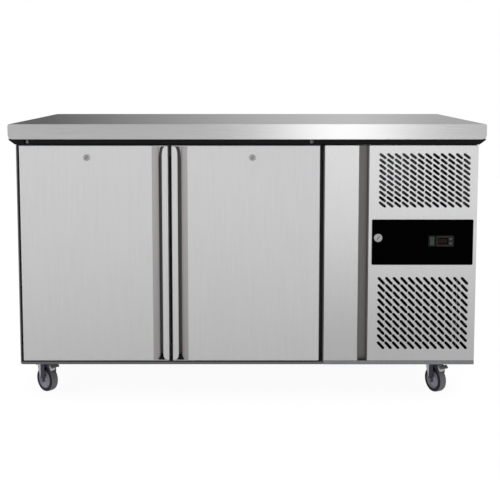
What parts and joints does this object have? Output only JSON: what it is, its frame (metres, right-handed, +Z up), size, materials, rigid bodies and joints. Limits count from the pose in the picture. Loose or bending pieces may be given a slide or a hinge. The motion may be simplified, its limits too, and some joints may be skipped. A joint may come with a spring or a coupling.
{
  "type": "undercounter refrigerator",
  "caption": "Stainless undercounter refrigerator: flat worktop, hinged storage doors with recessed edge grips, louvred machine compartment with black control panel, swivel casters.",
  "frame": {"origin": "on the floor, under the middle of the worktop", "axes": "+X to the right seen from the front, +Y to the back, +Z up; the doors face -Y"},
  "size_m": [1.36, 0.7, 0.81],
  "materials": {
    "stainless": "satin, brushed",
    "dull_steel": "dull, folded sheet",
    "zinc": "zinc plated",
    "aluminium": "matt",
    "black_plastic": "matt, moulded",
    "frame_plastic": "matt, moulded",
    "gasket": "soft, matt",
    "door_inner": "smooth, moulded",
    "foam": "rigid foam, hidden",
    "core_board": "board, hidden",
    "control_gloss": "high gloss",
    "switch_green": "translucent green",
    "bezel": "fine texture",
    "tyre": "smooth rubber",
    "machine_paint": "satin black paint"
  },
  "bodies": {
    "cabinet": {"worktop_skin": "stainless", "worktop_core": "core_board", "worktop_skirt": "black_plastic", "left_side_panel": "stainless", "right_side_panel": "stainless", "back_panel": "aluminium", "base_pan": "dull_steel", "cabinet_foam": "foam", "inner_liner": "stainless", "face_frame": "frame_plastic", "centre_mullion": "frame_plastic", "filler_panel": "stainless", "partition_channel": "dull_steel", "shelf_left": "zinc", "shelf_right": "zinc", "rack_left": "stainless", "rack_middle": "stainless", "evaporator_cover": "stainless", "evaporator_coil": "aluminium", "left_hinge_top": "zinc", "left_hinge_bottom": "zinc", "right_hinge_top": "zinc", "right_hinge_bottom": "zinc", "machine_door_hinge": "zinc", "condensing_tray": "dull_steel", "compressor": "machine_paint", "condenser_coil": "aluminium", "fan_shroud": "machine_paint", "cable_gland": "black_plastic", "caster_plate_front_left": "zinc", "caster_plate_front_right": "zinc", "caster_plate_back_left": "zinc", "caster_plate_back_right": "zinc"},
    "left_door": {"left_door_skin": "stainless", "left_door_liner": "door_inner", "left_door_gasket": "gasket"},
    "left_lock": {"left_door_lock": "zinc"},
    "right_door": {"right_door_skin": "stainless", "right_door_liner": "door_inner", "right_door_gasket": "gasket"},
    "right_lock": {"right_door_lock": "zinc"},
    "machine_door": {"machine_door_skin": "stainless", "control_plate": "control_gloss", "thermostat": "bezel"},
    "machine_lock": {"machine_door_lock": "zinc"},
    "power_rocker": {"rocker": "switch_green"},
    "lower_button": {"button_lower": "bezel"},
    "upper_button": {"button_upper": "bezel"},
    "cooling_fan": {"condenser_fan": "aluminium"},
    "cold_air_fan": {"evaporator_fan": "aluminium"},
    "swivel_front_left": {"caster_fork_front_left": "zinc"},
    "wheel_front_left": {"caster_wheel_front_left": "tyre"},
    "brake_front_left": {"caster_brake_front_left": "zinc"},
    "swivel_front_right": {"caster_fork_front_right": "zinc"},
    "wheel_front_right": {"caster_wheel_front_right": "tyre"},
    "brake_front_right": {"caster_brake_front_right": "zinc"},
    "swivel_back_left": {"caster_fork_back_left": "zinc"},
    "wheel_back_left": {"caster_wheel_back_left": "tyre"},
    "swivel_back_right": {"caster_fork_back_right": "zinc"},
    "wheel_back_right": {"caster_wheel_back_right": "tyre"}
  },
  "joints": [
    {"name": "door_left_hinge", "type": "hinge", "parent": "cabinet", "child": "left_door", "pos_m": [-0.63, -0.318, 0.43], "axis": [0, 0, -1], "range_deg": [0, 110], "stiffness_Nm_per_rad": 1.2, "springref_deg": -14.32},
    {"name": "door_right_hinge", "type": "hinge", "parent": "cabinet", "child": "right_door", "pos_m": [0.185, -0.318, 0.43], "axis": [0, 0, 1], "range_deg": [0, 110], "stiffness_Nm_per_rad": 1.2, "springref_deg": -14.32},
    {"name": "door_machine_hinge", "type": "hinge", "parent": "cabinet", "child": "machine_door", "pos_m": [0.654, -0.313, 0.43], "axis": [0, 0, 1], "range_deg": [0, 100]},
    {"name": "lock_left_turn", "type": "hinge", "parent": "left_door", "child": "left_lock", "pos_m": [-0.46, -0.31, 0.713], "axis": [0, -1, 0], "range_deg": [0, 90]},
    {"name": "lock_right_turn", "type": "hinge", "parent": "right_door", "child": "right_lock", "pos_m": [0.015, -0.31, 0.713], "axis": [0, 1, 0], "range_deg": [0, 90]},
    {"name": "lock_machine_turn", "type": "hinge", "parent": "machine_door", "child": "machine_lock", "pos_m": [0.3774, -0.31, 0.4813], "axis": [0, 1, 0], "range_deg": [0, 90]},
    {"name": "rocker_tilt", "type": "hinge", "parent": "machine_door", "child": "power_rocker", "pos_m": [0.53265, -0.3338, 0.472], "axis": [1, 0, 0], "range_deg": [0, 14]},
    {"name": "button_lower_press", "type": "slide", "parent": "machine_door", "child": "lower_button", "axis": [0, 1, 0], "range_m": [0, 0.0008], "stiffness_N_per_m": 500, "springref_m": -0.001},
    {"name": "button_upper_press", "type": "slide", "parent": "machine_door", "child": "upper_button", "axis": [0, 1, 0], "range_m": [0, 0.0008], "stiffness_N_per_m": 500, "springref_m": -0.001},
    {"name": "fan_condenser_spin", "type": "hinge", "parent": "cabinet", "child": "cooling_fan", "pos_m": [0.49, -0.212, 0.257], "axis": [0, 1, 0], "continuous": true},
    {"name": "fan_evaporator_spin", "type": "hinge", "parent": "cabinet", "child": "cold_air_fan", "pos_m": [0.196, 0.01, 0.59], "axis": [1, 0, 0], "continuous": true},
    {"name": "swivel_front_left", "type": "hinge", "parent": "cabinet", "child": "swivel_front_left", "pos_m": [-0.618, -0.234, 0.095], "axis": [0, 0, 1], "continuous": true},
    {"name": "wheel_front_left_roll", "type": "hinge", "parent": "swivel_front_left", "child": "wheel_front_left", "pos_m": [-0.60314, -0.24738, 0.0375], "axis": [0.6691, 0.7431, 0], "continuous": true},
    {"name": "brake_front_left", "type": "hinge", "parent": "swivel_front_left", "child": "brake_front_left", "pos_m": [-0.59868, -0.2514, 0.084], "axis": [0.6691, 0.7431, 0], "range_deg": [0, 7.5]},
    {"name": "swivel_front_right", "type": "hinge", "parent": "cabinet", "child": "swivel_front_right", "pos_m": [0.558, -0.234, 0.095], "axis": [0, 0, 1], "continuous": true},
    {"name": "wheel_front_right_roll", "type": "hinge", "parent": "swivel_front_right", "child": "wheel_front_right", "pos_m": [0.56708, -0.25182, 0.0375], "axis": [0.891, 0.454, 0], "continuous": true},
    {"name": "brake_front_right", "type": "hinge", "parent": "swivel_front_right", "child": "brake_front_right", "pos_m": [0.5698, -0.25717, 0.084], "axis": [0.891, 0.454, 0], "range_deg": [0, 7.5]},
    {"name": "swivel_back_left", "type": "hinge", "parent": "cabinet", "child": "swivel_back_left", "pos_m": [-0.618, 0.262, 0.095], "axis": [0, 0, 1], "continuous": true},
    {"name": "wheel_back_left_roll", "type": "hinge", "parent": "swivel_back_left", "child": "wheel_back_left", "pos_m": [-0.60624, 0.24582, 0.0375], "axis": [0.809, 0.5878, 0], "continuous": true},
    {"name": "swivel_back_right", "type": "hinge", "parent": "cabinet", "child": "swivel_back_right", "pos_m": [0.558, 0.262, 0.095], "axis": [0, 0, 1], "continuous": true},
    {"name": "wheel_back_right_roll", "type": "hinge", "parent": "swivel_back_right", "child": "wheel_back_right", "pos_m": [0.56976, 0.24582, 0.0375], "axis": [0.809, 0.5878, 0], "continuous": true}
  ]
}
